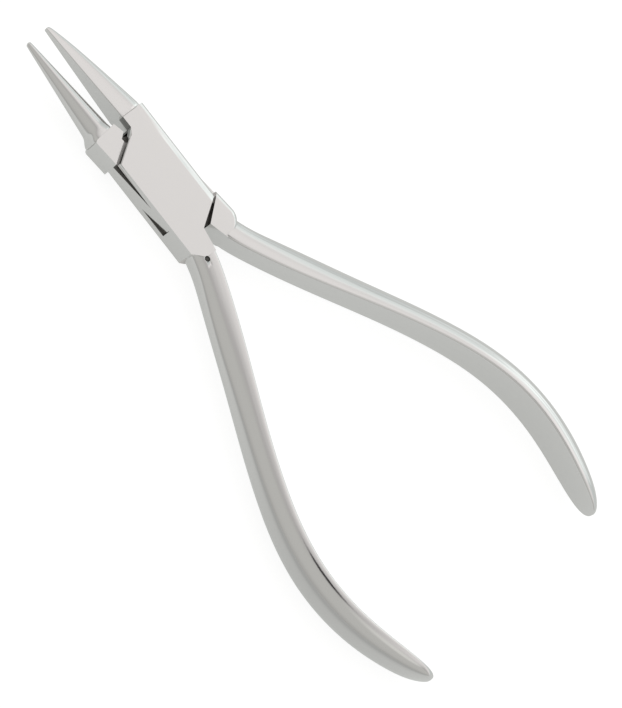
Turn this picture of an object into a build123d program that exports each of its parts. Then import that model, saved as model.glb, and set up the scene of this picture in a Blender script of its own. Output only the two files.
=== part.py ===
"""Orthodontic bird-beak pliers with a box joint.

Two forged steel halves cross in the joint. The box half carries two cheeks with a slot
between them, the flat-sided beak and one handle. The tongue half passes through the slot
and carries the round beak and the other handle. A plain pin, pressed into both cheeks and
ground flush, is the only fastener.

Each half is modelled about the pivot with the handles symmetric about the Y axis, and is
then swung to the slightly open pose. Beaks point to +Y and the thickness lies along Z.
"""

from build123d import *

import math
import os
from bisect import bisect_right

# Driving sizes in millimetres.

# Reach of both halves, from the pivot axis
beak_reach = 33.6
handle_reach = 96.8

# Box: one flat side, where both halves are ground flush, and one softly rounded side
box_thickness = 5.74
flat_side = 5.35
round_side = 5.8
shoulder_reach = 13.2
foot_reach = 12.9
foot_drop = 2.2
round_side_radius = 1.7
back_edge_radius = 0.4
shoulder_radius = 0.6

# Joint: how far the cheek ends, the pockets for them, the slot and the tongue reach from
# the pivot, each measured square to its sloping step line
cheek_head_reach = 8.7
cheek_heel_reach = 9.0
head_pocket_reach = 9.45
heel_pocket_reach = 9.17
slot_reach = 9.2
tongue_reach = 9.0
tongue_thickness = 2.62
tongue_play = 0.04

# Gaps beside the Y axis: at the beak of the box half, at the block of the tongue half,
# and between the two handle roots
split_gap = 0.65
cheek_nick = 0.45
block_gap = 0.3
block_lip = 0.07
heel_gap = 0.2
root_gap = 1.0

# Pivot pin
pin_diameter = 3.6
pin_clearance = 0.04

# Flat-sided beak
flat_root_width = 5.0
flat_tip_width = 0.8
flat_root_thickness = 5.3
flat_tip_thickness = 1.1
flat_beak_edge = 0.12

# Round beak
cone_root_diameter = 5.1
cone_tip_diameter = 0.96
cone_root_gap = 0.05
cone_tip_lead = 0.17
cone_nose_radius = 0.3

# Handles: distance of the flat inner side from the Y axis, thickness and width
handle_root_gap = 0.25
handle_spread = 22.97
handle_thickness = 5.32
handle_width = 9.0
handle_edge = 0.4

# Longest stretch of a handle between two sections
section_spacing = 3.0

# Depth that each beak is carried down into its block
beak_bury = 0.5

# Dimple at the foot of the box
dimple_diameter = 1.2
dimple_offset = 3.4
dimple_reach = 15.2

# One overrun for every cut
overrun = 1.0

# Angles in degrees.
step_angle = 31.0
nick_angle = 43.0
rest_opening = 5.85

# Handle sections from the root, inside the box, to the rounded end. Stations are shares
# of the handle's reach, the others are shares of its spread, thickness and width, and
# the fullness goes from an oval back towards a square one.
station_shares = (
    0.114, 0.160, 0.215, 0.276, 0.341, 0.410, 0.482, 0.555, 0.627, 0.699,
    0.765, 0.825, 0.878, 0.921, 0.953, 0.974, 0.988, 0.996, 1.0,
)
spread_shares = (
    0.000, 0.033, 0.123, 0.238, 0.372, 0.521, 0.672, 0.808, 0.919, 0.987,
    1.000, 0.973, 0.920, 0.865, 0.823, 0.796, 0.778, 0.772, 0.778,
)
thick_shares = (
    0.865, 0.855, 0.968, 1.000, 0.949, 0.884, 0.840, 0.812, 0.786, 0.761,
    0.748, 0.746, 0.735, 0.680, 0.590, 0.480, 0.360, 0.250, 0.120,
)
width_shares = (
    0.633, 0.627, 0.636, 0.676, 0.720, 0.767, 0.816, 0.864, 0.913, 0.960,
    0.987, 0.985, 0.965, 0.910, 0.830, 0.710, 0.540, 0.360, 0.160,
)
fullness_shares = (
    0.85, 0.83, 0.74, 0.67, 0.64, 0.64, 0.64, 0.64, 0.64, 0.64,
    0.64, 0.64, 0.64, 0.64, 0.64, 0.64, 0.64, 0.64, 0.64,
)

# Sections of the flat-sided beak, from inside the box to its nose
beak_station_shares = (
    -0.10, 0.05, 0.20, 0.35, 0.50, 0.65, 0.78, 0.88, 0.94, 0.975, 0.992, 1.0,
)
beak_width_shares = (
    1.08, 0.957, 0.828, 0.70, 0.565, 0.425, 0.29, 0.165, 0.085, 0.035, -0.01, -0.07,
)
beak_thickness_shares = (
    1.10, 0.95, 0.80, 0.65, 0.50, 0.35, 0.22, 0.12, 0.06, 0.02, -0.015, -0.07,
)
beak_fullness_share = 0.95

# A soft edge takes at most this share of a section's thickness or half width
edge_limit_share = 0.3


def step_height(reach, out):
    """Height above the pivot of a step line at a place `out` from the Y axis.

    The line stands `reach` from the pivot and falls as it goes out to its side.
    """
    turn = math.radians(step_angle)
    return (reach - out * math.sin(turn)) / math.cos(turn)


def table_slope(places, values, index):
    """Slope of a table at one of its places: that of the chord across it."""
    before, after = max(index - 1, 0), min(index + 1, len(places) - 1)
    return (values[after] - values[before]) / (places[after] - places[before])


def eased(places, values, place):
    """Value at any place, on a smooth curve through a table's values."""
    start = min(bisect_right(places, place), len(places) - 1) - 1
    span = places[start + 1] - places[start]
    part = (place - places[start]) / span
    rise = values[start + 1] - values[start]
    leave = table_slope(places, values, start) * span - rise
    arrive = rise - table_slope(places, values, start + 1) * span
    blend = part * (1 - part)
    return values[start] + part * rise + blend * ((1 - part) * leave + part * arrive)


def close_stations():
    """Stations of the handle's table and those that part its long stretches evenly."""
    stations = [station_shares[0]]
    for start, end in zip(station_shares, station_shares[1:]):
        count = math.ceil((end - start) * handle_reach / section_spacing)
        stations += [start + (end - start) * step / count for step in range(1, count + 1)]
    return stations


def plate(points, thickness):
    """Plate of the given outline, centred on the middle plane of the joint."""
    outline = make_face(Polyline(*points, close=True))
    return extrude(outline, amount=thickness / 2, both=True)


def d_section(station, inner, thick, width, edge, fullness):
    """Section square to Y at `station`: flat towards the Y axis, bulging away from it."""
    half = width / 2
    soft = min(edge, edge_limit_share * thick, edge_limit_share * half)
    crest = inner + thick
    lead = inner + soft + fullness * (thick - soft)
    rise = fullness * half
    flat = Line((inner, soft - half), (inner, half - soft))
    top_edge = Line((inner, half - soft), (inner + soft, half))
    top = Bezier((inner + soft, half), (lead, half), (crest, rise), (crest, 0))
    low = Bezier((crest, 0), (crest, -rise), (lead, -half), (inner + soft, -half))
    low_edge = Line((inner + soft, -half), (inner, soft - half))
    face = make_face([flat, top_edge, top, low, low_edge])
    return Plane(origin=(0, station, 0), x_dir=(1, 0, 0), z_dir=(0, -1, 0)) * face


def make_corner_waste():
    """What the grinding wheel takes off the shoulder's corner on the rounded side."""
    corner = Pos(round_side, shoulder_reach, 0)
    square = Box(
        shoulder_radius,
        shoulder_radius,
        box_thickness,
        align=(Align.MAX, Align.MAX, Align.CENTER),
    )
    round_bar = Pos(-shoulder_radius, -shoulder_radius, 0) * Cylinder(shoulder_radius, box_thickness)
    return corner * (square - round_bar)


def make_blank():
    """Bar of the box joint: flat side at -X, softly rounded side at +X."""
    length = shoulder_reach + foot_reach + foot_drop
    bar = Box(
        flat_side + round_side,
        length,
        box_thickness,
        align=(Align.MIN, Align.MAX, Align.CENTER),
    )
    bar = Pos(-flat_side, shoulder_reach, 0) * bar
    sides = bar.edges().filter_by(Axis.Y).group_by(Axis.X)
    bar = fillet(sides[-1], radius=round_side_radius)
    bar = bar - make_corner_waste()
    back = bar.edges().filter_by(Axis.Y).group_by(Axis.X)[0].sort_by(Axis.Z)[0]
    return fillet(back, radius=back_edge_radius)


def make_handle():
    """Handle on the +X side, lofted from inside the box to its rounded end."""
    span = handle_spread - handle_root_gap
    sections = [
        d_section(
            -station * handle_reach,
            handle_root_gap + eased(station_shares, spread_shares, station) * span,
            eased(station_shares, thick_shares, station) * handle_thickness,
            eased(station_shares, width_shares, station) * handle_width,
            handle_edge,
            eased(station_shares, fullness_shares, station),
        )
        for station in close_stations()
    ]
    return loft(sections, ruled=True)


def make_flat_beak():
    """Flat-sided beak of the box half, tapering in width and thickness."""
    length = beak_reach - shoulder_reach
    sections = [
        d_section(
            shoulder_reach + station * length,
            split_gap,
            flat_tip_width + wide * (flat_root_width - flat_tip_width),
            flat_tip_thickness + thick * (flat_root_thickness - flat_tip_thickness),
            flat_beak_edge,
            beak_fullness_share,
        )
        for station, wide, thick in zip(
            beak_station_shares, beak_width_shares, beak_thickness_shares
        )
    ]
    seat = Plane(origin=(0, shoulder_reach - beak_bury, 0), z_dir=(0, 1, 0))
    return split(loft(sections), bisect_by=seat, keep=Keep.TOP)


def make_round_beak():
    """Round beak of the tongue half: a slim cone with a blunt nose."""
    root_radius = cone_root_diameter / 2
    tip_radius = cone_tip_diameter / 2
    root = Vector(-cone_root_gap - root_radius, shoulder_reach, 0)
    tip = Vector(cone_tip_lead - tip_radius, beak_reach, 0)
    axis = (tip - root).normalized()
    length = (tip - root).length
    growth = (root_radius - tip_radius) * beak_bury / length
    cone = Cone(
        root_radius + growth,
        tip_radius,
        length + beak_bury,
        align=(Align.CENTER, Align.CENTER, Align.MIN),
    )
    cone = Plane(origin=root - axis * beak_bury, z_dir=axis) * cone
    nose = cone.edges().filter_by(GeomType.CIRCLE).sort_by(Axis.Y)[-1]
    return fillet(nose, radius=cone_nose_radius)


def make_box_half():
    """Half with both cheeks, the slot between them, the flat-sided beak and a handle."""
    foot = foot_reach + foot_drop
    left = flat_side + overrun
    right = round_side + overrun
    nick = step_height(cheek_head_reach, cheek_nick)
    nick_rise = (cheek_nick + split_gap) * math.tan(math.radians(nick_angle))
    outline = (
        (-left, step_height(cheek_head_reach, left)),
        (-cheek_nick, nick),
        (split_gap, nick + nick_rise),
        (split_gap, shoulder_reach),
        (right, shoulder_reach),
        (right, -step_height(cheek_heel_reach, right)),
        (-heel_gap, -step_height(cheek_heel_reach, -heel_gap)),
        (-root_gap, -foot),
        (foot_drop - flat_side, -foot),
        (-left, overrun - foot_reach),
    )
    slot_end = -step_height(slot_reach, heel_gap)
    slot = (
        (-left, -step_height(slot_reach, left)),
        (-heel_gap, slot_end),
        (right, slot_end),
        (right, step_height(slot_reach, right)),
        (split_gap, step_height(slot_reach, split_gap)),
        (split_gap, shoulder_reach + overrun),
        (-left, shoulder_reach + overrun),
    )
    block = make_blank() & plate(outline, box_thickness + overrun)
    block -= plate(slot, tongue_thickness + 2 * tongue_play)
    block -= Cylinder(pin_diameter / 2, box_thickness + overrun)
    half = block + make_flat_beak() + mirror(make_handle(), about=Plane.YZ)
    rim = dimple_diameter / 2
    upright = (Align.CENTER, Align.CENTER, Align.MIN)
    dimple = Cone(0, rim + overrun, rim + overrun, align=upright)
    return half - Pos(-dimple_offset, -dimple_reach, box_thickness / 2 - rim) * dimple


def make_tongue_half():
    """Half with the tongue that fills the slot, the round beak and a handle."""
    foot = foot_reach + foot_drop
    left = flat_side + overrun
    right = round_side + overrun
    head_block = (
        (-left, step_height(head_pocket_reach, left)),
        (block_lip, step_height(head_pocket_reach, -block_lip)),
        (-block_gap, shoulder_reach),
        (-left, shoulder_reach),
    )
    heel_block = (
        (right, -step_height(heel_pocket_reach, right)),
        (heel_gap, -step_height(heel_pocket_reach, heel_gap)),
        (root_gap, -foot),
        (round_side - foot_drop, -foot),
        (right, overrun - foot_reach),
    )
    tongue = (
        (-left, -step_height(tongue_reach, left)),
        (block_gap, -step_height(tongue_reach, -block_gap)),
        (root_gap, -foot_reach),
        (right, -foot_reach),
        (right, step_height(tongue_reach, right)),
        (-block_gap, step_height(tongue_reach, -block_gap)),
        (-block_gap, shoulder_reach),
        (-left, shoulder_reach),
    )
    blocks = plate(head_block, box_thickness + overrun) + plate(
        heel_block, box_thickness + overrun
    )
    body = make_blank() & (blocks + plate(tongue, tongue_thickness))
    body -= Cylinder(pin_diameter / 2 + pin_clearance, box_thickness)
    return body + make_round_beak() + make_handle()


def make_pivot_pin():
    """Plain pin, pressed into the cheeks and ground flush with them."""
    return Cylinder(pin_diameter / 2, box_thickness)


def build():
    """Both halves and the pin in the resting pose, standing on the ground plane."""
    swing = rest_opening / 2
    pieces = {
        "box_half": Rot(0, 0, -swing) * make_box_half(),
        "tongue_half": Rot(0, 0, swing) * make_tongue_half(),
        "pivot_pin": make_pivot_pin(),
    }
    bounds = Compound(list(pieces.values())).bounding_box()
    middle = bounds.center()
    place = Pos(-middle.X, -middle.Y, -bounds.min.Z)
    print("pivot at", place.position, "size", bounds.size)
    return {name: place * piece for name, piece in pieces.items()}


if __name__ == "__main__":
    os.makedirs("parts", exist_ok=True)
    for name, piece in build().items():
        export_step(piece, "parts/" + name + ".step")
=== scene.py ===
import logging
import math
from dataclasses import dataclass, field
from enum import Enum
from typing import Callable, Dict, List, Optional, Sequence, Tuple, Union

import bmesh
import bpy
from bmesh.types import BMEdge, BMesh, BMFace, BMVert
from bpy.types import ID, Material, NodeSocket, NodeTree, Object, World, bpy_prop_collection
from mathutils import Matrix, Vector
from mathutils.geometry import interpolate_bezier


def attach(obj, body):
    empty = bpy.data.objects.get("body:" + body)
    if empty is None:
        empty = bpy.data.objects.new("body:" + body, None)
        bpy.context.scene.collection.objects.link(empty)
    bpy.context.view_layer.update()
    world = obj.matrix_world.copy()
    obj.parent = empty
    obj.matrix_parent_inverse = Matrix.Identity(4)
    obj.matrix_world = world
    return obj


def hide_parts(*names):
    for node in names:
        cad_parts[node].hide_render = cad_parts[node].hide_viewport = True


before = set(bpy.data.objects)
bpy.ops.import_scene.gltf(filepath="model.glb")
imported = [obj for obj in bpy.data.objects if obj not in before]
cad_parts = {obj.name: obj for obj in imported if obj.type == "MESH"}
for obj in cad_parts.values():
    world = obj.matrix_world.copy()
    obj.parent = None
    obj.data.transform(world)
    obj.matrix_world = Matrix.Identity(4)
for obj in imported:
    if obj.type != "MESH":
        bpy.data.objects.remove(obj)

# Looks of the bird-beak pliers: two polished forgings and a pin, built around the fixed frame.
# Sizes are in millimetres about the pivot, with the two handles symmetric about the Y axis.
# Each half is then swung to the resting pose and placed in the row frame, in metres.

LOG = logging.getLogger("pliers")
MILLIMETRE = 0.001
FLOW = "flow"
OPENING = 5.85  # degrees between the halves in the photograph

# Distances in millimetres at which places count as the same, merge or lie on a cut
SAME_PLACE = 1e-3
MERGE = 1e-4
ON_CUT = 1e-5
NEAR_WALL = 0.05

# Shares of a face's normal along an axis: square to it, sloping, and along it
ACROSS = 0.1
SLOPING = (0.3, 0.8)
ALONG = 0.9

Point = Tuple[float, float]
Colour = Tuple[float, float, float, float]
Elem = Union[BMVert, BMEdge, BMFace]
Feeds = Dict[Union[str, int], Union[float, Sequence[float], NodeSocket]]


class Side(Enum):
    """Side of the Y axis that a half's handle lies on, before it is swung."""

    LEFT = -1
    RIGHT = 1


class Body(Enum):
    """Bodies of the frame that the pieces ride on."""

    BOX = "box_body"
    TONGUE = "tongue_body"


class PaintedShade(Enum):
    """Levels of painted shade on a block, as places in its list of finishes."""

    NONE = 0
    DIM = 1
    DARK = 2


class Cut(Enum):
    """Ways to combine two closed meshes."""

    KEEP_COMMON = "INTERSECT"
    TAKE_OUT = "DIFFERENCE"


class Slot(Enum):
    """Material slots of the record."""

    STEEL = "polished_steel"
    PIN = "pin_steel"


# Finishes


@dataclass(frozen=True)
class Nodes:
    """Nodes of one material or of the room, added and linked one by one."""

    tree: NodeTree

    @classmethod
    def blank(cls, owner: Union[Material, World]) -> "Nodes":
        """Clear the nodes of a new material or world.

        Args:
            owner: Material or world.

        Returns:
            Its empty nodes.
        """
        owner.use_nodes = True
        owner.node_tree.nodes.clear()
        return cls(owner.node_tree)

    def add(
        self, kind: str, feeds: Optional[Feeds] = None, **options: str
    ) -> bpy_prop_collection:
        """Add a node.

        Args:
            kind: Type of the node.
            feeds: Constants and sockets for its inputs, by name or place.
            options: Settings of the node itself.

        Returns:
            The outputs of the new node.
        """
        made = self.tree.nodes.new(kind)
        for option, value in options.items():
            setattr(made, option, value)
        for key, feed in (feeds or {}).items():
            if isinstance(feed, NodeSocket):
                self.tree.links.new(feed, made.inputs[key])
            else:
                made.inputs[key].default_value = feed
        return made.outputs

    def product(self, one: NodeSocket, other: Union[float, NodeSocket]) -> NodeSocket:
        """Socket of the product of two levels."""
        return self.add("ShaderNodeMath", {0: one, 1: other}, operation="MULTIPLY")["Value"]

    def remap(
        self, value: NodeSocket, given: Point, wanted: Point, interpolation: str = "LINEAR"
    ) -> NodeSocket:
        """Turn a value of one range into one of another.

        Args:
            value: Socket of the value.
            given: Ends of its own range.
            wanted: What the ends turn into.
            interpolation: Kind of the ramp between them.

        Returns:
            The socket of the result.
        """
        ends = dict(zip(("From Min", "From Max", "To Min", "To Max"), given + wanted))
        feeds = {"Value": value, **ends}
        return self.add("ShaderNodeMapRange", feeds, interpolation_type=interpolation)["Result"]

    def metal(self, colour: Colour, feeds: Feeds) -> None:
        """Close the nodes with bare metal.

        Args:
            colour: Colour of the metal.
            feeds: Further inputs of its shader.
        """
        feeds = {"Metallic": 1.0, "Base Color": colour, **feeds}
        shader = self.add("ShaderNodeBsdfPrincipled", feeds)
        self.add("ShaderNodeOutputMaterial", {"Surface": shader["BSDF"]})


@dataclass(frozen=True)
class PolishedSteel:
    """Buffed stainless steel: soft waves and faint marks that run along the forging."""

    name: str
    colour: Colour = (0.71, 0.70, 0.69, 1.0)
    roughness: float = 0.11
    roughness_spread: float = 0.035
    wave_across: float = 0.55
    wave_along: float = 0.035
    wave_detail: float = 1.5
    wave_height: float = 0.042
    mark_across: float = 9.0
    mark_along: float = 0.4
    mark_detail: float = 3.0
    mark_height: float = 0.0009
    mark_range: Tuple[float, float] = (0.3, 0.7)

    def material(self) -> Material:
        """Build the node material of this finish.

        Returns:
            The new material.
        """
        made = bpy.data.materials.new(self.name)
        nodes = Nodes.blank(made)
        waves = self.noise(nodes, self.wave_across, self.wave_along, self.wave_detail)
        marks = self.noise(nodes, self.mark_across, self.mark_along, self.mark_detail)
        ends = self.roughness - self.roughness_spread, self.roughness + self.roughness_spread
        rough = nodes.remap(marks, self.mark_range, ends)
        coarse = self.relief(nodes, waves, self.wave_height, {})
        fine = self.relief(nodes, marks, self.mark_height, {"Normal": coarse})
        nodes.metal(self.colour, {"Roughness": rough, "Normal": fine})
        return made

    @staticmethod
    def noise(nodes: Nodes, across: float, along: float, detail: float) -> NodeSocket:
        """Noise that is drawn out along the forging.

        Args:
            nodes: Nodes of the finish.
            across: Waves per millimetre across the forging.
            along: Waves per millimetre along it.
            detail: Octaves of the noise.

        Returns:
            The socket that holds the height.
        """
        place = nodes.add("ShaderNodeAttribute", attribute_name=FLOW)["Vector"]
        scale = (across, along, across)
        stretch = nodes.add("ShaderNodeMapping", {"Vector": place, "Scale": scale})["Vector"]
        feeds = {"Vector": stretch, "Scale": 1.0, "Detail": detail}
        return nodes.add("ShaderNodeTexNoise", feeds)["Fac"]

    @staticmethod
    def relief(nodes: Nodes, height: NodeSocket, depth: float, below: Feeds) -> NodeSocket:
        """Bump from a height.

        Args:
            nodes: Nodes of the finish.
            height: Socket of the height.
            depth: Depth in millimetres.
            below: Normal of the relief below it, if there is one.

        Returns:
            The socket of the normal.
        """
        feeds = {"Strength": 1.0, "Distance": depth * MILLIMETRE, "Height": height, **below}
        return nodes.add("ShaderNodeBump", feeds)["Normal"]


@dataclass(frozen=True)
class JointShadeSteel:
    """Dark steel that paints the shade of the joint's slits, walls, seams and pit, with a mottled
    roughness.
    """

    name: str
    colour: Colour
    roughness: float
    roughness_spread: float = 0.08
    mottle_count: float = 900.0

    def material(self) -> Material:
        """Build the node material of this finish.

        Returns:
            The new material.
        """
        made = bpy.data.materials.new(self.name)
        nodes = Nodes.blank(made)
        place = nodes.add("ShaderNodeTexCoord")["Object"]
        # Noise that mottles the roughness of the painted shade
        shade_and_mottle = nodes.add("ShaderNodeTexNoise", {"Vector": place, "Scale": self.mottle_count})
        ends = self.roughness - self.roughness_spread, self.roughness + self.roughness_spread
        rough = nodes.remap(shade_and_mottle["Fac"], (0.0, 1.0), ends)
        nodes.metal(self.colour, {"Roughness": rough})
        return made


@dataclass(frozen=True)
class Finishes:
    """Finishes of the pliers' surfaces."""

    forged: Material
    ground: Material
    # The last two are dark steels that paint shade into the joint, dim and dark
    dim_shade: Material
    dark_shade: Material

    def block(self) -> List[Material]:
        """Finishes of a block, in the order of the levels of painted shade."""
        return [self.ground, self.dim_shade, self.dark_shade]


@dataclass(frozen=True)
class StudioPaper:
    """White paper of the studio floor, with a painted glow that only the metal's reflections see,
    dimmer far off to the left.
    """

    name: str = "studio_paper"
    colour: Colour = (0.3, 0.3, 0.3, 1.0)
    lift: float = 0.84
    mirror_tint: Colour = (0.97, 1.0, 0.98, 1.0)
    mirror_near: float = 0.525
    mirror_far: float = 0.28
    near: float = -0.018
    far: float = -0.062

    def material(self) -> Material:
        """Build the paper, which the camera and the metal see brighter than its shade.

        Returns:
            The new material.
        """
        made = bpy.data.materials.new(self.name)
        nodes = Nodes.blank(made)
        rays = nodes.add("ShaderNodeLightPath")
        seen = nodes.add(
            "ShaderNodeMath",
            {0: rays["Is Camera Ray"], 1: rays["Is Transmission Ray"]},
            operation="MAXIMUM",
        )
        direct = nodes.product(seen["Value"], self.lift)
        white = nodes.add("ShaderNodeEmission", {"Strength": direct})

        # Painted reflection: a glow that only glossy rays see, fading far off to the left as
        # painted light fall-off
        place = nodes.add("ShaderNodeTexCoord")["Object"]
        reach = nodes.add("ShaderNodeSeparateXYZ", {"Vector": place})["X"]
        levels = (self.mirror_far, self.mirror_near)
        fall = nodes.remap(reach, (self.far, self.near), levels, "SMOOTHSTEP")
        mirror = nodes.product(rays["Is Glossy Ray"], fall)
        glow = nodes.add("ShaderNodeEmission", {"Color": self.mirror_tint, "Strength": mirror})

        paper = nodes.add("ShaderNodeBsdfDiffuse", {"Color": self.colour})
        lit = nodes.add("ShaderNodeAddShader", {0: paper["BSDF"], 1: white["Emission"]})
        both = nodes.add("ShaderNodeAddShader", {0: lit["Shader"], 1: glow["Emission"]})
        nodes.add("ShaderNodeOutputMaterial", {"Surface": both["Shader"]})
        return made


# Mesh helpers


@dataclass(frozen=True)
class Stance:
    """How a half stands in the row frame: swung about the pivot, then placed."""

    swing: float
    pivot: Tuple[float, float, float] = (0.0, 31.1028, 4.45027)

    def matrix(self) -> Matrix:
        """Matrix from millimetres about the pivot to metres in the row frame."""
        return (
            Matrix.Scale(MILLIMETRE, 4)
            @ Matrix.Translation(Vector(self.pivot))
            @ Matrix.Rotation(math.radians(self.swing), 4, "Z")
        )


def step_height(reach: float, out: float, angle: float) -> float:
    """Height above the pivot of a sloping step line at a place beside the Y axis.

    Args:
        reach: Distance from the pivot, square to the line.
        out: Distance from the Y axis towards the side where the line falls.
        angle: Slope of the line in degrees.

    Returns:
        The height in millimetres.
    """
    turn = math.radians(angle)
    return (reach - out * math.sin(turn)) / math.cos(turn)


def linked(name: str, data: ID) -> Object:
    """Make an object and link it to the scene.

    Args:
        name: Name of the object.
        data: What it holds.

    Returns:
        The new object.
    """
    made = bpy.data.objects.new(name, data)
    bpy.context.scene.collection.objects.link(made)
    return made


def remove(part: Object) -> None:
    """Remove an object that only served a cut, together with its mesh.

    Args:
        part: Object to remove.
    """
    mesh = part.data
    bpy.data.objects.remove(part)
    bpy.data.meshes.remove(mesh)


def everything(bm: BMesh) -> List[Elem]:
    """List all corners, edges and faces of a mesh."""
    return bm.verts[:] + bm.edges[:] + bm.faces[:]


def middle_height(face: BMFace) -> float:
    """Place of a face's middle along Y."""
    return face.calc_center_median().y


def slice_mesh(
    bm: BMesh,
    geom: Sequence[Elem],
    place: Sequence[float],
    way: Sequence[float],
) -> List[Elem]:
    """Cut a part of a mesh along a plane.

    Args:
        bm: Mesh that holds it.
        geom: What is cut.
        place: Point of the plane.
        way: Normal of the plane.

    Returns:
        The part as it is after the cut.
    """
    return bmesh.ops.bisect_plane(
        bm, geom=geom, dist=ON_CUT, plane_co=place, plane_no=way
    )["geom"]


def outline_face(bm: BMesh, points: Sequence[Point], level: float) -> BMFace:
    """Add a flat outline at a level.

    Args:
        bm: Mesh to add to.
        points: Corners of the outline.
        level: Height along Z.

    Returns:
        The new face.
    """
    corners = [bm.verts.new((x, y, level)) for x, y in points]
    rim = [bm.edges.new(pair) for pair in zip(corners, corners[1:] + corners[:1])]
    return bmesh.ops.contextual_create(bm, geom=rim)["faces"][0]


def grow_face(bm: BMesh, face: BMFace, rise: float) -> BMFace:
    """Extrude a face along Z.

    Args:
        bm: Mesh that holds the face.
        face: Face to extrude.
        rise: Distance along Z.

    Returns:
        The face at the new level.
    """
    made = bmesh.ops.extrude_face_region(bm, geom=[face])["geom"]
    corners = [g for g in made if isinstance(g, BMVert)]
    bmesh.ops.translate(bm, verts=corners, vec=(0.0, 0.0, rise))
    bmesh.ops.delete(bm, geom=[face], context="FACES_ONLY")
    return next(g for g in made if isinstance(g, BMFace))


def prism(points: Sequence[Point], low: float, high: float) -> BMesh:
    """Make a closed upright form from its outline.

    Args:
        points: Corners of the outline.
        low: Level of its lower end.
        high: Level of its upper end.

    Returns:
        A new mesh.
    """
    bm = bmesh.new()
    grow_face(bm, outline_face(bm, points, low), high - low)
    bmesh.ops.holes_fill(bm, edges=bm.edges[:], sides=0)
    bmesh.ops.recalc_face_normals(bm, faces=bm.faces[:])
    return bm


def combine(base: BMesh, tool: BMesh, cut: Cut) -> BMesh:
    """Combine two closed meshes into one and free them both.

    Args:
        base: Mesh that is cut.
        tool: Mesh that cuts it.
        cut: What of the two stays.

    Returns:
        A new mesh, whose faces keep their finishes.
    """
    parts = []
    for bm in (base, tool):
        mesh = bpy.data.meshes.new("part")
        bm.to_mesh(mesh)
        bm.free()
        for _ in PaintedShade:
            mesh.materials.append(None)
        parts.append(linked("part", mesh))
    step = parts[0].modifiers.new("cut", "BOOLEAN")
    step.operation = cut.value
    step.solver = "EXACT"
    step.object = parts[1]
    graph = bpy.context.evaluated_depsgraph_get()
    made = bmesh.new()
    made.from_mesh(parts[0].evaluated_get(graph).to_mesh())
    for part in parts:
        remove(part)
    return made


def split_face(bm: BMesh, face: BMFace, start: Point, end: Point) -> List[BMFace]:
    """Cut one face along an upright plane through two points.

    Args:
        bm: Mesh that holds the face.
        face: Face to cut.
        start: First point of the line.
        end: Second point of the line.

    Returns:
        The faces that the cut leaves.
    """
    across = Vector((end[1] - start[1], start[0] - end[0], 0.0)).normalized()
    made = slice_mesh(bm, [face, *face.edges, *face.verts], (*start, 0.0), across)
    return [g for g in made if isinstance(g, BMFace) and g.is_valid]


def mirrored(bm: BMesh) -> None:
    """Complete a lower half across the middle plane of the joint.

    Args:
        bm: Mesh whose open rim lies at level zero.
    """
    bmesh.ops.mirror(bm, geom=everything(bm), axis="Z", merge_dist=MERGE)
    bmesh.ops.remove_doubles(bm, verts=bm.verts[:], dist=MERGE)
    bmesh.ops.dissolve_degenerate(bm, edges=bm.edges[:], dist=ON_CUT)
    bmesh.ops.recalc_face_normals(bm, faces=bm.faces[:])


def round_edges(
    bm: BMesh,
    wanted: Callable[[BMEdge], bool],
    radius: float,
    segments: int,
    shade_and_mottle: PaintedShade = PaintedShade.NONE,
) -> None:
    """Round the edges that a test picks out.

    Args:
        bm: Mesh to work on.
        wanted: Test that picks the edges.
        radius: Radius of the rounding.
        segments: Number of steps in it.
        shade_and_mottle: Level of painted shade of the new faces.
    """
    edges = [e for e in bm.edges if wanted(e)]
    made = bmesh.ops.bevel(
        bm,
        geom=edges,
        offset=radius,
        offset_type="OFFSET",
        segments=segments,
        profile=0.5,
        affect="EDGES",
        material=-1,
    )
    for face in made["faces"]:
        face.material_index = shade_and_mottle.value


def skin(rings: Sequence[Sequence[Vector]]) -> BMesh:
    """Skin through rings of equally many points by extruding the first one.

    Args:
        rings: Points of each ring, in the same order.

    Returns:
        A new mesh, closed at both ends.
    """
    bm = bmesh.new()
    start = bmesh.ops.create_circle(bm, cap_ends=True, radius=1.0, segments=len(rings[0]))
    order: Dict[BMVert, int] = {}
    for index, corner in enumerate(start["verts"]):
        corner.co = rings[0][index]
        order[corner] = index
    edges = list(bm.edges)
    for ring in rings[1:]:
        made = bmesh.ops.extrude_edge_only(bm, edges=edges)["geom"]
        edges = [g for g in made if isinstance(g, BMEdge)]
        grown: Dict[BMVert, int] = {}
        for corner in (g for g in made if isinstance(g, BMVert)):
            for edge in corner.link_edges:
                if edge.other_vert(corner) in order:
                    grown[corner] = order[edge.other_vert(corner)]
        for corner, index in grown.items():
            corner.co = ring[index]
        order = grown
        edges = [e for e in edges if e.verts[0] in order and e.verts[1] in order]
    bmesh.ops.holes_fill(bm, edges=edges, sides=0)
    bmesh.ops.recalc_face_normals(bm, faces=bm.faces[:])
    return bm


def upright(edge: BMEdge) -> bool:
    """Tell whether an edge runs along Z."""
    return (edge.verts[0].co - edge.verts[1].co).to_2d().length < MERGE


def stands_on(corner: BMVert, points: Sequence[Vector]) -> bool:
    """Tell whether a corner stands over or under one of some points of the plan."""
    return any((corner.co.to_2d() - p).length < SAME_PLACE for p in points)


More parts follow.
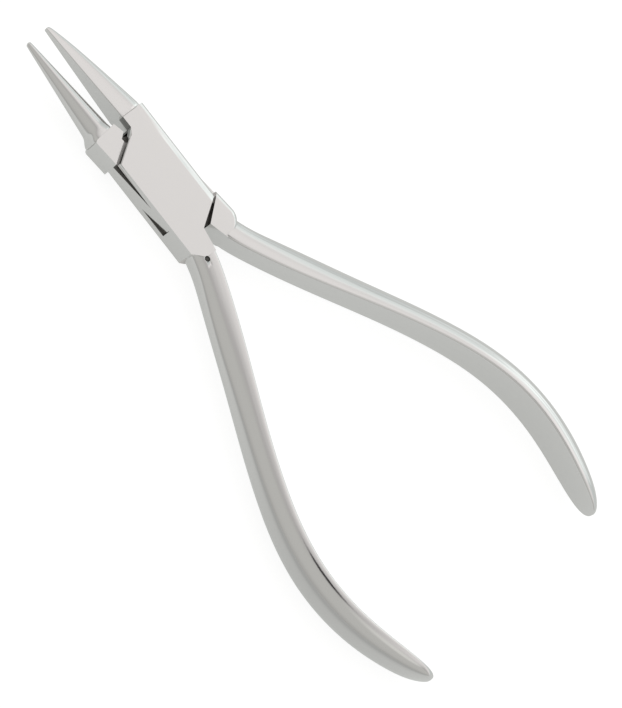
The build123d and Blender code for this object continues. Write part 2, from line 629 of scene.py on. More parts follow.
def paint_joint_shade(
    bm: BMesh, joint: "JointSizes", dark_shade: Sequence[Tuple[float, float]]
) -> None:
    """Paint shade on the faces in and around the joint, where shade falls.

    Args:
        bm: Mesh of a block, in millimetres about the pivot.
        joint: Sizes of the joint.
        dark_shade: Reaches along X in which the flats get painted dark shade.
    """
    bm.normal_update()
    core = joint.tongue_thickness / 2 + joint.tongue_play + SAME_PLACE
    split = joint.thickness / 2 - joint.split_shade
    for face in bm.faces:
        middle, way = face.calc_center_median(), face.normal
        inside = abs(middle.z) < core
        wall = abs(way.z) < ACROSS and abs(middle.y) < joint.foot - joint.shoulder_radius
        slope = SLOPING[0] < abs(way.x) < SLOPING[1] and middle.x < joint.shade_end
        at_split = abs(way.x) > ALONG and abs(middle.x - joint.split_gap) < NEAR_WALL
        dark_shaded = inside and any(low < middle.x < high for low, high in dark_shade)
        # Painted shade: dark on the flats and the sloping walls inside the slot, dim on the
        # sloping walls outside it and on the top of the split wall
        if abs(way.z) > ALONG and dark_shaded:
            face.material_index = PaintedShade.DARK.value
        elif wall and slope:
            face.material_index = (PaintedShade.DARK if inside else PaintedShade.DIM).value
        elif wall and at_split:
            face.material_index = (PaintedShade.DIM if middle.z > split else PaintedShade.NONE).value


def finished(
    bm: BMesh,
    name: str,
    stance: Stance,
    materials: Sequence[Material],
    flow: Callable[[Vector], Vector] = Vector,
) -> Object:
    """Place a mesh in the row frame and make it an object at the origin.

    Args:
        bm: Mesh in millimetres about the pivot.
        name: Name of the piece.
        stance: How its half stands.
        materials: Finishes of the piece.
        flow: Place of a point along and across the forging, for the finish.

    Returns:
        The new object.
    """
    layer = bm.verts.layers.float_vector.new(FLOW)
    for corner in bm.verts:
        corner[layer] = flow(corner.co)
    bmesh.ops.transform(bm, matrix=stance.matrix(), verts=bm.verts[:])
    for face in bm.faces:
        face.smooth = True
    mesh = bpy.data.meshes.new(name)
    bm.to_mesh(mesh)
    bm.free()
    for material in materials:
        mesh.materials.append(material)
    return linked(name, mesh)


def soften(piece: Object, radius: float, segments: int = 3, angle: float = 28.0) -> None:
    """Round the sharp edges of a ground block and keep its faces flat.

    Args:
        piece: Piece to finish.
        radius: Radius in millimetres.
        segments: Number of steps in each edge.
        angle: Smallest angle in degrees that counts as an edge.
    """
    edge = piece.modifiers.new("edges", "BEVEL")
    edge.width = radius * MILLIMETRE
    edge.segments = segments
    edge.limit_method = "ANGLE"
    edge.angle_limit = math.radians(angle)
    edge.harden_normals = False
    even = piece.modifiers.new("flats", "WEIGHTED_NORMAL")
    even.mode = "FACE_AREA"
    even.weight = 100
    even.keep_sharp = True


def bore(piece: Object, form: Object) -> None:
    """Cut a form out of a smoothed piece, with the form's finish, and remove the form.

    Args:
        piece: Piece to cut.
        form: Form to take out of it.
    """
    cut = piece.modifiers.new("bore", "BOOLEAN")
    cut.operation = Cut.TAKE_OUT.value
    cut.solver = "EXACT"
    cut.material_mode = "TRANSFER"
    cut.object = form
    graph = bpy.context.evaluated_depsgraph_get()
    mesh = bpy.data.meshes.new_from_object(
        piece.evaluated_get(graph), preserve_all_data_layers=True, depsgraph=graph
    )
    piece.modifiers.clear()
    whole, piece.data = piece.data, mesh
    bpy.data.meshes.remove(whole)
    remove(form)


def forge(
    name: str,
    rings: Sequence[Sequence[Vector]],
    stance: Stance,
    material: Material,
    levels: int,
    flow: Callable[[Vector], Vector] = Vector,
) -> Object:
    """Make a smooth piece through rings of points with a subdivision surface.

    Args:
        name: Name of the piece.
        rings: Points of its rings, in millimetres about the pivot.
        stance: How its half stands.
        material: Its finish.
        levels: Number of subdivisions, in the view and in the render alike.
        flow: Place of a point along and across the forging, for the finish.

    Returns:
        The finished piece.
    """
    made = finished(skin(rings), name, stance, [material], flow)
    smooth = made.modifiers.new("form", "SUBSURF")
    smooth.levels = levels
    smooth.render_levels = levels
    return made


# Sub-assemblies


@dataclass(frozen=True)
class JointSizes:
    """Sizes of the box joint that both halves share, in millimetres and degrees."""

    thickness: float = 5.74
    flat_side: float = 5.35
    round_side: float = 5.8
    shoulder: float = 13.2
    foot: float = 12.9
    foot_drop: float = 2.2
    side_radius: float = 0.9
    shoulder_radius: float = 0.5
    foot_radius: float = 1.0
    head_radius: float = 0.7
    head_chamfer: float = 0.3
    head_reach: float = 8.7
    heel_reach: float = 9.07
    head_pocket: float = 9.47
    heel_pocket: float = 9.48
    slot_reach: float = 9.2
    tongue_reach: float = 9.0
    tongue_thickness: float = 2.62
    tongue_play: float = 0.04
    tongue_lean: float = 0.2
    split_gap: float = 0.65
    cheek_nick: float = 0.45
    block_gap: float = 0.3
    block_lip: float = 0.07
    heel_gap: float = 0.2
    root_gap: float = 1.0
    step_angle: float = 31.0
    nick_angle: float = 43.0
    pin_diameter: float = 3.6
    edge: float = 0.09
    seam: float = 0.05
    crown: float = 1.3
    crown_fall: float = 0.17
    crown_blend: float = 0.5
    # Reach of the joint's painted shade, depth of the painted shade on the split wall, and the
    # slit edge that is painted dark
    shade_end: float = 4.0
    split_shade: float = 1.9
    slit_edge: float = 0.12
    overrun: float = 1.0
    bar_reach: float = 20.0
    side_steps: int = 6
    crown_steps: int = 4
    side_angle: float = 45.0
    line_angle: float = 0.5

    def step(self, reach: float, out: float) -> float:
        """Height of a step line of this joint beside the Y axis."""
        return step_height(reach, out, self.step_angle)

    def bar(self, plan: Sequence[Point], turn: float) -> BMesh:
        """Bar that a block is cut from, with crowned faces and soft edges.

        Args:
            plan: Corners of the bar, the first three at its far ends.
            turn: Length of the rounding at the other corners.

        Returns:
            A new mesh.
        """
        outer = self.thickness / 2
        bm = prism(plan, -outer, outer)
        corners = [Vector(p) for p in plan[3:]]
        if turn:
            round_edges(
                bm,
                lambda e: upright(e) and stands_on(e.verts[0], corners),
                turn,
                self.side_steps,
            )
        start = self.round_side - self.crown
        slice_mesh(bm, everything(bm), (start, 0.0, 0.0), (1.0, 0.0, 0.0))
        for corner in bm.verts:
            fall = self.crown_fall * max(corner.co.x - start, 0.0) / self.crown
            corner.co.z *= 1.0 - fall / outer
        bm.normal_update()
        side_angle = math.radians(self.side_angle)
        round_edges(
            bm,
            lambda e: not upright(e) and e.calc_face_angle(0.0) > side_angle,
            self.side_radius,
            self.side_steps,
        )
        round_edges(
            bm,
            lambda e: all(
                abs(v.co.x - start) < SAME_PLACE and self.on_face(v) for v in e.verts
            ),
            self.crown_blend,
            self.crown_steps,
        )
        return bm

    def on_face(self, corner: BMVert) -> bool:
        """Tell whether a corner lies on the front or the rear face."""
        return abs(corner.co.z) > self.thickness / 2 - SAME_PLACE

    def edge_line(self, side: float, level: float) -> Callable[[BMEdge], bool]:
        """Test for the edges along one line of the joint.

        Args:
            side: Place of the line along X.
            level: Place of the line along Z.

        Returns:
            The test.
        """
        return lambda e: e.calc_face_angle(0.0) > self.line_angle and all(
            max(abs(v.co.x - side), abs(v.co.z - level)) < SAME_PLACE for v in e.verts
        )


@dataclass(frozen=True)
class DSection:
    """Section square to the Y axis: flat inside, bulging outside."""

    station: float
    inner: float
    thick: float
    width: float
    edge: float
    fullness: float
    edge_limit: float = 0.3
    edge_pull: float = 0.35
    flat_shares: Tuple[float, ...] = (-0.6, 0.0, 0.6)

    def ring(self, side: Side, around: int, corner: int) -> List[Vector]:
        """Points of the section, once around.

        Args:
            side: Side of the Y axis that the bulge points to.
            around: Number of steps on each half of the bulge.
            corner: Number of steps on each inner corner.

        Returns:
            The points, in millimetres.
        """
        half = self.width / 2
        soft = min(self.edge, self.edge_limit * self.thick, self.edge_limit * half)
        crest = self.inner + self.thick
        lead = self.inner + soft + self.fullness * (self.thick - soft)
        rise = self.fullness * half
        turn = interpolate_bezier(
            Vector((self.inner, half - soft)),
            Vector((self.inner, half - soft * self.edge_pull)),
            Vector((self.inner + soft * self.edge_pull, half)),
            Vector((self.inner + soft, half)),
            corner + 1,
        )
        bulge = interpolate_bezier(
            Vector((self.inner + soft, half)),
            Vector((lead, half)),
            Vector((crest, rise)),
            Vector((crest, 0.0)),
            around + 1,
        )
        upper = list(turn) + list(bulge[1:])
        lower = [Vector((p.x, -p.y)) for p in reversed(upper[:-1])]
        flat = [Vector((self.inner, share * (half - soft))) for share in self.flat_shares]
        ring = upper + lower + flat
        return [Vector((side.value * p.x, self.station, p.y)) for p in ring]


@dataclass
class HandleForm:
    """Bowed handle of D section, from inside the box to its rounded end."""

    reach: float = 96.8
    root_gap: float = 0.25
    spread: float = 22.97
    thickness: float = 5.32
    width: float = 9.0
    edge: float = 0.4
    stations: Tuple[float, ...] = (
        0.114, 0.160, 0.215, 0.276, 0.341, 0.410, 0.482, 0.555, 0.627, 0.699,
        0.765, 0.825, 0.878, 0.921, 0.953, 0.974, 0.988, 0.996, 1.0,
    )
    spreads: Tuple[float, ...] = (
        0.000, 0.033, 0.123, 0.238, 0.372, 0.521, 0.672, 0.808, 0.919, 0.987,
        1.000, 0.973, 0.920, 0.865, 0.823, 0.796, 0.778, 0.772, 0.778,
    )
    thicks: Tuple[float, ...] = (
        0.865, 0.855, 0.968, 1.000, 0.949, 0.884, 0.840, 0.812, 0.786, 0.761,
        0.748, 0.746, 0.735, 0.680, 0.590, 0.480, 0.360, 0.250, 0.120,
    )
    widths: Tuple[float, ...] = (
        0.635, 0.641, 0.645, 0.676, 0.720, 0.767, 0.816, 0.864, 0.913, 0.960,
        0.987, 0.985, 0.965, 0.910, 0.830, 0.710, 0.540, 0.360, 0.160,
    )
    fullnesses: Tuple[float, ...] = (
        0.85, 0.83, 0.74, 0.67, 0.64, 0.64, 0.64, 0.64, 0.64, 0.64,
        0.64, 0.64, 0.64, 0.64, 0.64, 0.64, 0.64, 0.64, 0.64,
    )
    around: int = 9
    corner: int = 3
    levels: int = 2

    def sections(self) -> List[DSection]:
        """Sections of the handle from the root to the end."""
        span = self.spread - self.root_gap
        return [
            DSection(
                station=-station * self.reach,
                inner=self.root_gap + spread * span,
                thick=thick * self.thickness,
                width=wide * self.width,
                edge=self.edge,
                fullness=full,
            )
            for station, spread, thick, wide, full in zip(
                self.stations, self.spreads, self.thicks, self.widths, self.fullnesses
            )
        ]

    def piece(self, name: str, side: Side, stance: Stance, material: Material) -> Object:
        """Build the handle.

        Args:
            name: Name of the piece.
            side: Side of the Y axis it lies on.
            stance: How its half stands.
            material: Its finish.

        Returns:
            The finished piece.
        """
        sections = self.sections()
        inner = {round(s.station, 3): s.inner for s in sections}
        return forge(
            name,
            [s.ring(side, self.around, self.corner) for s in sections],
            stance,
            material,
            self.levels,
            lambda p: Vector((side.value * p.x - inner[round(p.y, 3)], p.y, p.z)),
        )


@dataclass
class FlatBeakForm:
    """Flat-sided beak, tapering in width and thickness to a blunt nose."""

    reach: float = 33.6
    root_width: float = 5.0
    tip_width: float = 0.8
    root_thickness: float = 5.3
    tip_thickness: float = 1.1
    edge: float = 0.12
    fullness: float = 0.95
    overlap: float = 0.01
    stations: Tuple[float, ...] = (
        -0.06, 0.05, 0.20, 0.35, 0.50, 0.65, 0.78, 0.88, 0.94, 0.975, 0.992, 1.0,
    )
    widths: Tuple[float, ...] = (
        1.03, 0.957, 0.828, 0.70, 0.565, 0.425, 0.29, 0.165, 0.085, 0.035, -0.01, -0.07,
    )
    thicknesses: Tuple[float, ...] = (
        1.03, 0.95, 0.80, 0.65, 0.50, 0.35, 0.22, 0.12, 0.06, 0.02, -0.015, -0.07,
    )
    around: int = 9
    corner: int = 3
    levels: int = 2

    def rings(self, joint: JointSizes) -> List[List[Vector]]:
        """Rings of the beak, on the right of the Y axis.

        Args:
            joint: Sizes of the joint below it.

        Returns:
            The points of each ring, from the shoulder to the nose.
        """
        length = self.reach - joint.shoulder
        return [
            DSection(
                station=joint.shoulder + station * length,
                inner=joint.split_gap - self.overlap,
                thick=self.tip_width + wide * (self.root_width - self.tip_width),
                width=self.tip_thickness + deep * (self.root_thickness - self.tip_thickness),
                edge=self.edge,
                fullness=self.fullness,
            ).ring(Side.RIGHT, self.around, self.corner)
            for station, wide, deep in zip(self.stations, self.widths, self.thicknesses)
        ]


@dataclass
class RoundBeakForm:
    """Round beak: a slim cone with a blunt nose and a foot that flares into its block."""

    reach: float = 33.6
    root_diameter: float = 5.1
    tip_diameter: float = 0.96
    root_gap: float = 0.05
    tip_lead: float = 0.17
    nose_length: float = 0.4
    bury: float = 0.3
    flare: float = 2.0
    flare_side: float = 2.76
    flare_depth: float = 2.8
    flare_power: float = 5.0
    flat_power: int = 4
    cone_stations: Tuple[float, ...] = (0.22, 0.36, 0.5, 0.64, 0.78, 0.9)
    flare_stations: Tuple[float, ...] = (0.0, 0.12, 0.26, 0.42, 0.6, 0.8, 1.0)
    nose_steps: int = 5
    around: int = 48
    levels: int = 1

    def centre(self, joint: JointSizes, height: float) -> Tuple[float, float]:
        """Centre and radius of the cone at a height above the pivot.

        Args:
            joint: Sizes of the joint below it.
            height: Height above the pivot.

        Returns:
            The centre's place along X, and the radius.
        """
        root, tip = self.root_diameter / 2, self.tip_diameter / 2
        share = (height - joint.shoulder) / (self.reach - joint.shoulder)
        start, end = -self.root_gap - root, self.tip_lead - tip
        return start + share * (end - start), root + share * (tip - root)

    def ring(
        self, joint: JointSizes, height: float, blend: float = 0.0, shrink: float = 1.0
    ) -> List[Vector]:
        """Points of the beak at one height.

        Args:
            joint: Sizes of the joint below it.
            height: Height above the pivot.
            blend: Share of the block's square form in it.
            shrink: Share of the cone's radius that is left, at the nose.

        Returns:
            The points, in millimetres.
        """
        middle, radius = self.centre(joint, height)
        points = []
        for step in range(self.around):
            turn = 2 * math.pi * step / self.around
            across, deep = math.cos(turn), math.sin(turn)
            side = self.flare_side if across < 0 else radius
            power = self.flare_power
            reaches = abs(across / side) ** power + abs(deep / self.flare_depth) ** power
            square = reaches ** (-1 / power)
            if across > 0:
                square = radius + (square - radius) * abs(deep) ** self.flat_power
            reach = shrink * (radius + blend * (square - radius))
            points.append(Vector((middle + reach * across, height, reach * deep)))
        return points

    def rings(self, joint: JointSizes) -> List[List[Vector]]:
        """Rings of the beak, on the left of the Y axis.

        Args:
            joint: Sizes of the joint below it.

        Returns:
            The points of each ring, from the shoulder to the nose.
        """
        length = self.reach - joint.shoulder
        rings = [self.ring(joint, joint.shoulder - self.bury, 1.0)]
        for share in self.flare_stations:
            blend = (1 - share) ** 2 * (1 + 2 * share)
            rings.append(self.ring(joint, joint.shoulder + share * self.flare, blend))
        for share in self.cone_stations:
            rings.append(self.ring(joint, joint.shoulder + share * length))
        for step in range(self.nose_steps):
            lean = 0.5 * math.pi * step / self.nose_steps
            height = self.reach - self.nose_length * (1 - math.sin(lean))
            rings.append(self.ring(joint, height, shrink=math.cos(lean)))
        return rings


@dataclass
class BoxHalf:
    """Half with the two cheeks, the flat-sided beak and the handle on the left."""

    stance: Stance
    joint: JointSizes = field(default_factory=JointSizes)
    beak: FlatBeakForm = field(default_factory=FlatBeakForm)
    handle: HandleForm = field(default_factory=HandleForm)
    dimple_diameter: float = 0.95
    dimple_stretch: float = 1.15
    dimple_offset: float = 3.35
    dimple_reach: float = 15.35
    dimple_detail: int = 3
    corner_turns: Tuple[float, ...] = (90.0, 74.0, 58.0, 42.0, 26.0, 10.0)
    chamfer_steps: int = 4

    def shoulder_corner(self) -> List[Point]:
        """Points round the outer corner of the shoulder."""
        r = self.joint.shoulder_radius
        across, up = self.joint.round_side - r, self.joint.shoulder - r
        turns = [math.radians(turn) for turn in self.corner_turns]
        return [(across + r * math.cos(t), up + r * math.sin(t)) for t in turns]

    def outline(self) -> List[Point]:
        """Outline of a cheek, from the top of its flat side round to its foot."""
        j = self.joint
        foot = j.foot + j.foot_drop
        side = j.round_side + j.overrun
        nick = j.step(j.head_reach, j.cheek_nick)
        rise = (j.cheek_nick + j.split_gap) * math.tan(math.radians(j.nick_angle))
        return [
            (-j.flat_side, j.step(j.head_reach, j.flat_side)),
            (-j.cheek_nick, nick),
            (j.split_gap, nick + rise),
            (j.split_gap, j.shoulder),
            *self.shoulder_corner(),
            (side, j.shoulder - j.shoulder_radius),
            (side, -j.step(j.heel_reach, side)),
            (-j.heel_gap, -j.step(j.heel_reach, -j.heel_gap)),
            (-j.root_gap, -foot),
            (j.foot_drop - j.flat_side, -foot),
            (-j.flat_side, -j.foot),
        ]

    def block(self, materials: Sequence[Material]) -> Object:
        """Build the two cheeks with the slot between them.

        Args:
            materials: Finishes of the block's outside and the painted shade of its joint faces.

        Returns:
            The finished piece.
        """
        j = self.joint
        outer = j.thickness / 2
        deep = outer + j.overrun
        inner = j.tongue_thickness / 2 + j.tongue_play
        points = self.outline()
        bm = bmesh.new()
        grow_face(bm, outline_face(bm, points, -deep), deep - inner)
        outline_face(bm, points, -deep)
        bmesh.ops.remove_doubles(bm, verts=bm.verts[:], dist=MERGE)
        wall = max(bm.faces, key=lambda f: f.calc_center_median().z)

        head = split_face(
            bm,
            wall,
            (j.split_gap, j.step(j.slot_reach, j.split_gap)),
            (j.round_side, j.step(j.slot_reach, j.round_side)),
        )
        heel = split_face(
            bm,
            min(head, key=middle_height),
            (-j.flat_side, -j.step(j.slot_reach, j.flat_side)),
            (-j.heel_gap, -j.step(j.heel_reach, -j.heel_gap)),
        )
        for region in (max(head, key=middle_height), min(heel, key=middle_height)):
            top = grow_face(bm, region, inner)
            bmesh.ops.delete(bm, geom=[top], context="FACES_ONLY")
        mirrored(bm)
        # Cut the split wall where its painted shade ends
        for face in bm.faces[:]:
            offset = abs(face.calc_center_median().x - j.split_gap)
            if offset < NEAR_WALL and abs(face.normal.x) > ALONG:
                geom = [face, *face.edges, *face.verts]
                slice_mesh(bm, geom, (0.0, 0.0, outer - j.split_shade), (0.0, 0.0, 1.0))
        paint_joint_shade(bm, j, [(-j.flat_side, j.round_side)])
        far = j.bar_reach
        plan = [(j.round_side, far), (-far, far), (-far, -far), (j.round_side, -far)]
        bm = combine(bm, j.bar(plan, 0.0), Cut.KEEP_COMMON)
        rim = [Vector(p) for p in points[:3]]
        round_edges(
            bm,
            lambda e: all(j.on_face(v) and stands_on(v, rim) for v in e.verts),
            j.head_chamfer,
            self.chamfer_steps,
        )
        # Round the shoulder seam and the edge along the slit with faces painted dark, as dark
        # lines of shade
        shoulder = j.shoulder - SAME_PLACE
        round_edges(
            bm,
            lambda e: not upright(e)
            and all(j.on_face(v) and v.co.y > shoulder for v in e.verts),
            j.seam,
            1,
            PaintedShade.DARK,
        )
        round_edges(bm, j.edge_line(-j.flat_side, inner), j.slit_edge, 1, PaintedShade.DARK)
        bm = combine(bm, self.pit(), Cut.TAKE_OUT)
        made = finished(bm, "box_cheeks", self.stance, materials)
        soften(made, j.edge)
        return made

    def pit(self) -> BMesh:
        """Build the form of the small punched pit at the foot of the front face, whose inside is
        painted dark shade.
        """
        bm = bmesh.new()
        radius = self.dimple_diameter / 2
        bmesh.ops.create_icosphere(bm, subdivisions=self.dimple_detail, radius=radius)
        bmesh.ops.scale(bm, vec=(1.0, self.dimple_stretch, 1.0), verts=bm.verts[:])
        place = Vector((-self.dimple_offset, -self.dimple_reach, self.joint.thickness / 2))
        bmesh.ops.translate(bm, vec=place, verts=bm.verts[:])
        # The pit's inside is painted dark shade
        for face in bm.faces:
            face.material_index = PaintedShade.DARK.value
        return bm

    def build(self, finishes: Finishes) -> List[Object]:
        """Build the pieces of this half and tie them to its body.

        Args:
            finishes: Finishes of its surfaces.

        Returns:
            The pieces.
        """
        block = self.block(finishes.block())
        handle = self.handle.piece("box_handle", Side.LEFT, self.stance, finishes.forged)
        # The pit in the handle is painted the same dark shade
        pit_shades = [finishes.dark_shade] * len(PaintedShade)
        bore(handle, finished(self.pit(), "pit_form", self.stance, pit_shades))
        rings = self.beak.rings(self.joint)
        beak = forge("flat_beak", rings, self.stance, finishes.ground, self.beak.levels)
        pieces = [block, beak, handle]
        for piece in pieces:
            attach(piece, Body.BOX.value)
            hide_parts("box_half")
        return pieces


@dataclass
class TongueHalf:
    """Half with the tongue, the round beak and the handle on the right."""

    stance: Stance
    joint: JointSizes = field(default_factory=JointSizes)
    beak: RoundBeakForm = field(default_factory=RoundBeakForm)
    handle: HandleForm = field(default_factory=HandleForm)
    # Reaches of the painted dark shade on the tongue's flats
    shaded_strip: float = 0.8
    shade_start: float = -0.35
    head_steps: int = 5

    def outline(self) -> List[Point]:
        """Outline of the tongue with its head and heel blocks."""
        j = self.joint
        foot = j.foot + j.foot_drop
        side = j.round_side + j.overrun
        return [
            (-j.flat_side - j.tongue_lean, -j.step(j.tongue_reach, j.flat_side)),
            (j.block_gap, -j.step(j.tongue_reach, -j.block_gap)),
            (j.heel_gap, -j.step(j.heel_pocket, j.heel_gap)),
            (j.root_gap, -foot),
            (j.round_side - j.foot_drop, -foot),
            (side, j.overrun - j.foot),
            (side, j.step(j.tongue_reach, side)),
            (-j.block_gap, j.step(j.tongue_reach, -j.block_gap)),
            (j.block_lip, j.step(j.head_pocket, -j.block_lip)),
            (-j.block_gap, j.shoulder),
            (-j.flat_side, j.shoulder),
        ]

    def block(self, materials: Sequence[Material]) -> Object:
        """Build the tongue and the two blocks at its ends.

        Args:
            materials: Finishes of the block's outside and the painted shade of its joint faces.

        Returns:
            The finished piece.
        """
        j = self.joint
        outer = j.thickness / 2
        inner = j.tongue_thickness / 2
        points = self.outline()
        bm = bmesh.new()
        wall = grow_face(bm, outline_face(bm, points, 0.0), -inner)
        root, lip = points[2], points[8]
        head = split_face(
            bm, wall, (-j.flat_side, j.step(j.head_pocket, j.flat_side)), lip
        )
        heel = split_face(
            bm,
            min(head, key=middle_height),
            (j.round_side, -j.step(j.heel_pocket, j.round_side)),
            root,
        )
        for region in (max(head, key=middle_height), min(heel, key=middle_height)):
            grow_face(bm, region, inner - outer - j.overrun)
        mirrored(bm)
        strip = self.shaded_strip - j.flat_side
        for place in (strip, self.shade_start, j.shade_end):
            slice_mesh(bm, everything(bm), (place, 0.0, 0.0), (1.0, 0.0, 0.0))
        # The tongue's flats get painted dark shade in two reaches
        paint_joint_shade(bm, j, [(-j.flat_side, strip), (self.shade_start, j.shade_end)])
        far, foot = j.bar_reach, -j.foot - j.foot_drop
        plan = [
            (j.round_side, far),
            (-far, far),
            (-far, foot),
            (j.round_side - j.foot_drop, foot),
            (j.round_side, -j.foot),
        ]
        bm = combine(bm, j.bar(plan, j.foot_radius), Cut.KEEP_COMMON)
        shoulder, side = j.shoulder - SAME_PLACE, SAME_PLACE - j.flat_side
        round_edges(
            bm,
            lambda e: upright(e) and all(v.co.y > shoulder and v.co.x < side for v in e.verts),
            j.head_radius,
            self.head_steps,
        )
        made = finished(bm, "tongue_block", self.stance, materials)
        soften(made, j.edge)
        return made

    def build(self, finishes: Finishes) -> List[Object]:
        """Build the pieces of this half and tie them to its body.

        Args:
            finishes: Finishes of its surfaces.

        Returns:
            The pieces.
        """
        rings = self.beak.rings(self.joint)
        pieces = [
            self.block(finishes.block()),
            forge("round_beak", rings, self.stance, finishes.ground, self.beak.levels),
            self.handle.piece("tongue_handle", Side.RIGHT, self.stance, finishes.forged),
        ]
        for piece in pieces:
            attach(piece, Body.TONGUE.value)
            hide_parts("tongue_half")
        return pieces


@dataclass
class PivotPin:
    """Plain pin, pressed into the cheeks and ground flush with them."""

    stance: Stance
    joint: JointSizes = field(default_factory=JointSizes)
    grind: float = 0.01
    edge: float = 0.1
    segments: int = 64

    def build(self, material: Material) -> Object:
        """Build the pin, a hair below the faces of the cheeks.

        Args:
            material: Finish of the pin.

        Returns:
            The finished piece.
        """
        bm = bmesh.new()
        radius = self.joint.pin_diameter / 2
        bmesh.ops.create_cone(
            bm,
            cap_ends=True,
            cap_tris=False,
            segments=self.segments,
            radius1=radius,
            radius2=radius,
            depth=self.joint.thickness - 2 * self.grind,
        )
        made = finished(bm, "pivot_pin_ground", self.stance, [material])
        soften(made, self.edge)
        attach(made, Body.BOX.value)
        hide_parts("pivot_pin")
        return made


# Studio


class Tint(Enum):
    """Tints of the room's white walls."""

    COOL = (0.95, 1.0, 0.99)
    PLAIN = (1.02, 1.0, 0.99)
    WARM = (1.0, 1.0, 0.968)


@dataclass(frozen=True)
class Wall:
    """Level of the room at one turn, from the right wall over the ceiling to the left."""

    turn: float
    level: float
    tint: Tint

    def colour(self) -> Colour:
        """Colour of the wall there."""
        red, green, blue = (self.level * part for part in self.tint.value)
        return red, green, blue, 1.0


@dataclass(frozen=True)
class Patch:
    """Round patch of the room that is brighter or darker than the wall behind it."""

    name: str
    way: Tuple[float, float, float]
    inner: float
    outer: float
    level: float

    def factor(self, nodes: Nodes, place: NodeSocket) -> NodeSocket:
        """Factor on the wall's level, smooth from the patch's rim to its middle.

        Args:
            nodes: Nodes of the room.
            place: Socket of the direction.

        Returns:
            The socket that holds the factor.
        """
        middle = Vector(self.way).normalized()
        along = nodes.add(
            "ShaderNodeVectorMath", {0: place, 1: middle}, operation="DOT_PRODUCT", label=self.name
        )
        rim = math.cos(math.radians(self.outer)), math.cos(math.radians(self.inner))
        return nodes.remap(along["Value"], rim, (1.0, self.level), "SMOOTHSTEP")


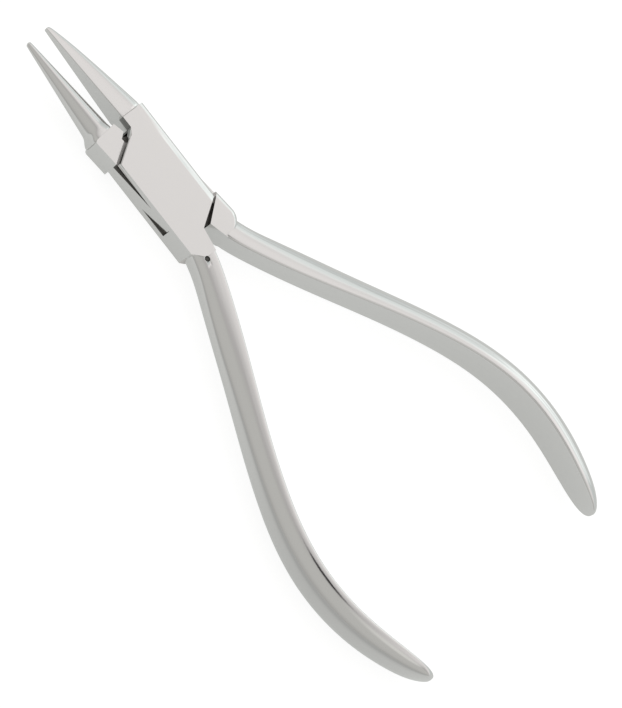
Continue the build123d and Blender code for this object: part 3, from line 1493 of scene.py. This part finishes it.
@dataclass
class Studio:
    """White paper, a soft lamp, a white room and the camera of the photograph."""

    floor_size: float = 6.0
    walls: Tuple[Wall, ...] = (
        Wall(0.0, 0.74, Tint.COOL),
        Wall(25.0, 0.75, Tint.COOL),
        Wall(40.0, 0.81, Tint.COOL),
        Wall(49.0, 0.90, Tint.PLAIN),
        Wall(60.0, 0.96, Tint.PLAIN),
        Wall(66.0, 0.88, Tint.PLAIN),
        Wall(73.0, 0.75, Tint.PLAIN),
        Wall(80.0, 0.63, Tint.PLAIN),
        Wall(86.0, 0.56, Tint.PLAIN),
        Wall(96.0, 0.60, Tint.WARM),
        Wall(105.0, 0.625, Tint.WARM),
        Wall(150.0, 0.615, Tint.WARM),
        Wall(165.0, 0.57, Tint.WARM),
        Wall(180.0, 0.50, Tint.WARM),
    )
    patches: Tuple[Patch, ...] = (
        Patch("lens hood", (0.095, -0.065, 0.993), 3.2, 6.2, 0.02),
        Patch("low card", (-0.05, -0.50, 0.86), 8.0, 24.0, 1.35),
        Patch("side card", (0.55, 0.13, 0.82), 4.0, 14.0, 1.03),
        Patch("edge card", (0.728, -0.2, 0.656), 10.0, 15.0, 1.28),
        Patch("rim card", (0.9045, -0.22, 0.3654), 12.0, 17.0, 1.4),
        Patch("beak card", (0.8177, 0.06, 0.5725), 8.0, 13.0, 1.28),
        Patch("tip card", (0.978, 0.0, 0.208), 8.0, 14.0, 1.33),
    )
    camera_place: Tuple[float, float, float] = (-0.280566, 0.036378, 0.533787)
    camera_right: Tuple[float, float, float] = (0.649081, -0.647051, 0.400022)
    camera_up: Tuple[float, float, float] = (0.599811, 0.758744, 0.254035)
    camera_back: Tuple[float, float, float] = (-0.467888, 0.075048, 0.880596)
    lens: float = 197.95
    sensor: float = 36.0
    clip_start: float = 0.01
    clip_end: float = 20.0
    lamp_place: Tuple[float, float, float] = (0.6, -0.06, 1.07)
    lamp_size: float = 1.0
    lamp_power: float = 0.55
    backdrop: Colour = (1.0, 1.0, 1.0, 1.0)
    paper: StudioPaper = field(default_factory=StudioPaper)

    def floor(self) -> None:
        """Lay the paper that the pliers lie on."""
        bm = bmesh.new()
        bmesh.ops.create_grid(bm, x_segments=1, y_segments=1, size=self.floor_size / 2)
        mesh = bpy.data.meshes.new("studio_floor")
        bm.to_mesh(mesh)
        bm.free()
        mesh.materials.append(self.paper.material())
        linked("studio_floor", mesh)

    def world(self) -> None:
        """Surround the pliers with a white room whose level changes softly round them."""
        room = bpy.data.worlds.new("studio_room")
        nodes = Nodes.blank(room)
        place = nodes.add("ShaderNodeTexCoord")["Generated"]
        parts = nodes.add("ShaderNodeSeparateXYZ", {"Vector": place})
        turn = nodes.add("ShaderNodeMath", {0: parts["Z"], 1: parts["X"]}, operation="ARCTAN2")
        share = nodes.remap(turn["Value"], (0.0, math.pi), (0.0, 1.0))
        level = self.patches[0].factor(nodes, place)
        for patch in self.patches[1:]:
            level = nodes.product(level, patch.factor(nodes, place))
        walls = self.wall_colour(nodes, share)
        light = nodes.add("ShaderNodeBackground", {"Color": walls, "Strength": level})
        backdrop = nodes.add("ShaderNodeBackground", {"Color": self.backdrop})
        seen = nodes.add(
            "ShaderNodeMixShader",
            {
                "Fac": nodes.add("ShaderNodeLightPath")["Is Camera Ray"],
                1: light["Background"],
                2: backdrop["Background"],
            },
        )
        nodes.add("ShaderNodeOutputWorld", {"Surface": seen["Shader"]})
        bpy.context.scene.world = room

    def wall_colour(self, nodes: Nodes, share: NodeSocket) -> NodeSocket:
        """Colour of the walls, softly blended from turn to turn.

        Args:
            nodes: Nodes of the room.
            share: Socket of the turn, as a share of the half circle.

        Returns:
            The socket of the colour.
        """
        ramp = nodes.tree.nodes.new("ShaderNodeValToRGB")
        nodes.tree.links.new(share, ramp.inputs["Fac"])
        stops = ramp.color_ramp
        stops.interpolation = "CARDINAL"
        given = list(stops.elements)
        for index, wall in enumerate(self.walls):
            place = wall.turn / self.walls[-1].turn
            stop = given[index] if index < len(given) else stops.elements.new(place)
            stop.position = place
            stop.color = wall.colour()
        return ramp.outputs["Color"]

    def lamp(self) -> None:
        """Hang one square soft lamp, which the metal doesn't mirror."""
        data = bpy.data.lights.new("soft_lamp", "AREA")
        data.shape = "SQUARE"
        data.size = self.lamp_size
        data.energy = self.lamp_power
        lamp = linked("soft_lamp", data)
        lamp.location = self.lamp_place
        lamp.rotation_euler = (-lamp.location).to_track_quat("-Z", "Y").to_euler()
        lamp.visible_glossy = False

    def camera(self) -> None:
        """Set the camera where the photograph was taken from."""
        data = bpy.data.cameras.new("photo_camera")
        data.sensor_fit = "HORIZONTAL"
        data.sensor_width = self.sensor
        data.lens = self.lens
        data.clip_start, data.clip_end = self.clip_start, self.clip_end
        camera = linked("photo_camera", data)
        turn = Matrix((self.camera_right, self.camera_up, self.camera_back)).transposed()
        camera.matrix_world = Matrix.Translation(Vector(self.camera_place)) @ turn.to_4x4()
        bpy.context.scene.camera = camera

    def build(self) -> None:
        """Set up the floor, the light and the camera."""
        self.camera()
        self.floor()
        self.world()
        self.lamp()
        bpy.context.scene.view_settings.view_transform = "Standard"


def main() -> None:
    """Build the pliers and the studio, and report each piece."""
    logging.basicConfig(level=logging.INFO)
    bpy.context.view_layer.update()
    finishes = Finishes(
        forged=PolishedSteel("forged_steel_skin").material(),
        ground=PolishedSteel("ground_steel_skin", wave_height=0.002).material(),
        # Two dark steels that paint the joint's shade, dim and dark
        dim_shade=JointShadeSteel("joint_dim_shade", (0.27, 0.266, 0.258, 1.0), 0.3).material(),
        dark_shade=JointShadeSteel("joint_dark_shade", (0.13, 0.127, 0.12, 1.0), 0.42).material(),
    )
    pieces = BoxHalf(Stance(-OPENING / 2)).build(finishes)
    pieces += TongueHalf(Stance(OPENING / 2)).build(finishes)
    pieces.append(PivotPin(Stance(0.0)).build(finishes.ground))
    Studio().build()
    for piece in pieces:
        LOG.info("%s: %d faces", piece.name, len(piece.data.polygons))


if __name__ == "__main__":
    main()
